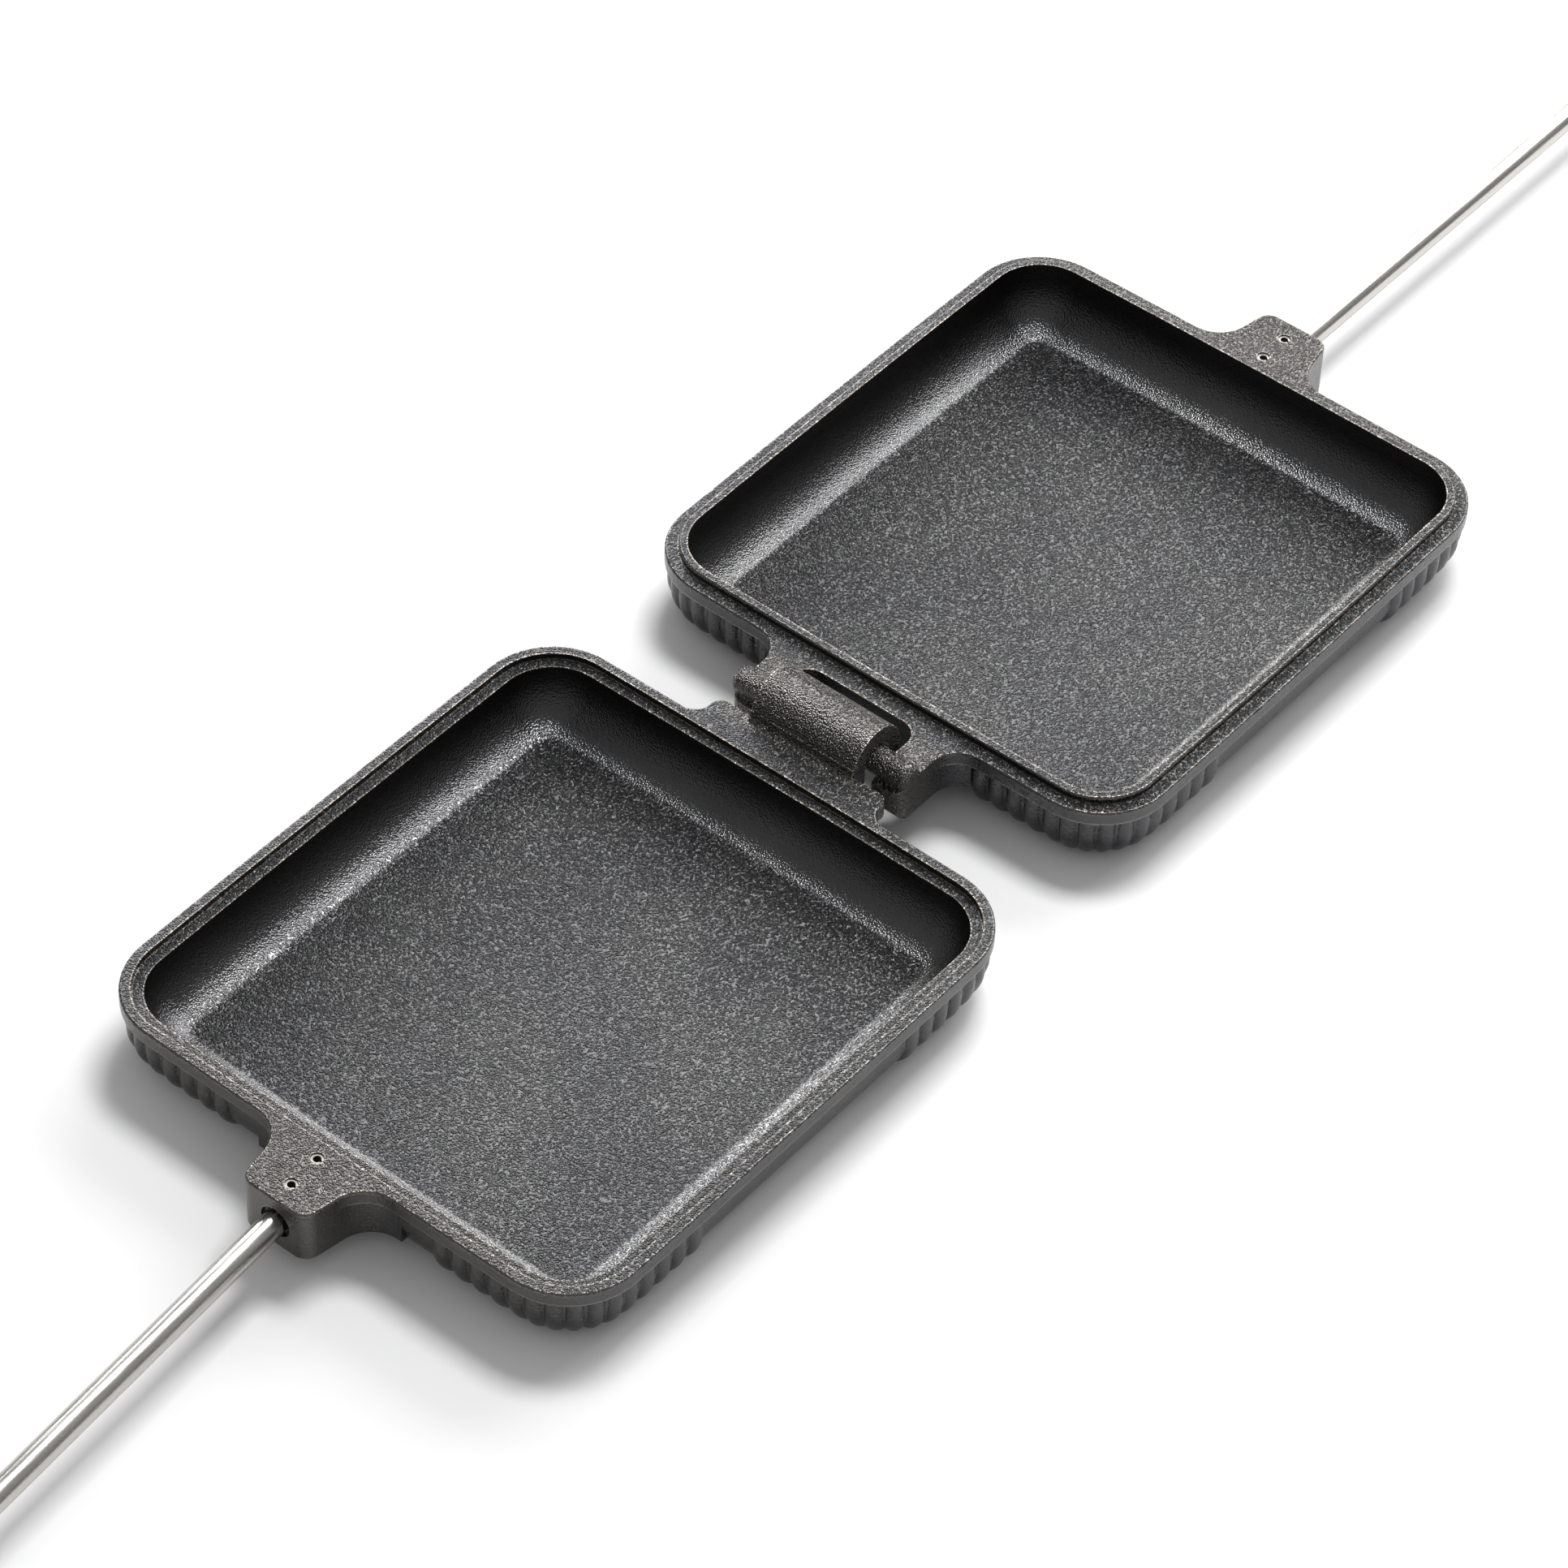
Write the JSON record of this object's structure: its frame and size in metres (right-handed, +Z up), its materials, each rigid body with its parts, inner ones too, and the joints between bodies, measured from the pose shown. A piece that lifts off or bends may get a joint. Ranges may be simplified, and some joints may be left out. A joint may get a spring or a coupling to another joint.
{
  "type": "pie iron",
  "caption": "Long-handled pie iron: two square cast-iron pans that hook together at a cast bar and fold shut over filled bread, each on a steel rod with a wooden grip.",
  "frame": {"origin": "on the floor under the middle of the hinge bar, with the iron hooked together and lying open flat on the bases of its pans", "axes": "+X along the hinge bar, +Y towards the grip of the bar half, +Z up; the hook half lies on -Y"},
  "size_m": [0.114, 1.372, 0.0225],
  "materials": {
    "cast_iron": "sand-cast, seasoned, coarse grain on the flat faces",
    "rod_steel": "bright drawn round bar",
    "pin_steel": "rolled spring steel, bright ends",
    "grip_wood": "turned hardwood, oiled",
    "fitting_steel": "satin nickel-coloured plating"
  },
  "bodies": {
    "hook_half": {"hook_pan": "cast_iron", "hook_rod": "rod_steel", "hook_pins": "pin_steel", "hook_ferrule": "fitting_steel", "hook_grip": "grip_wood", "hook_washer": "fitting_steel", "hook_nut": "fitting_steel"},
    "bar_half": {"bar_pan": "cast_iron", "bar_rod": "rod_steel", "bar_pins": "pin_steel", "bar_ferrule": "fitting_steel", "bar_grip": "grip_wood", "bar_washer": "fitting_steel", "bar_nut": "fitting_steel"}
  },
  "joints": [
    {"name": "pan_hinge", "type": "hinge", "parent": "bar_half", "child": "hook_half", "pos_m": [0, 0, 0.01575], "axis": [-1, 0, 0], "range_deg": [0, 180]}
  ]
}
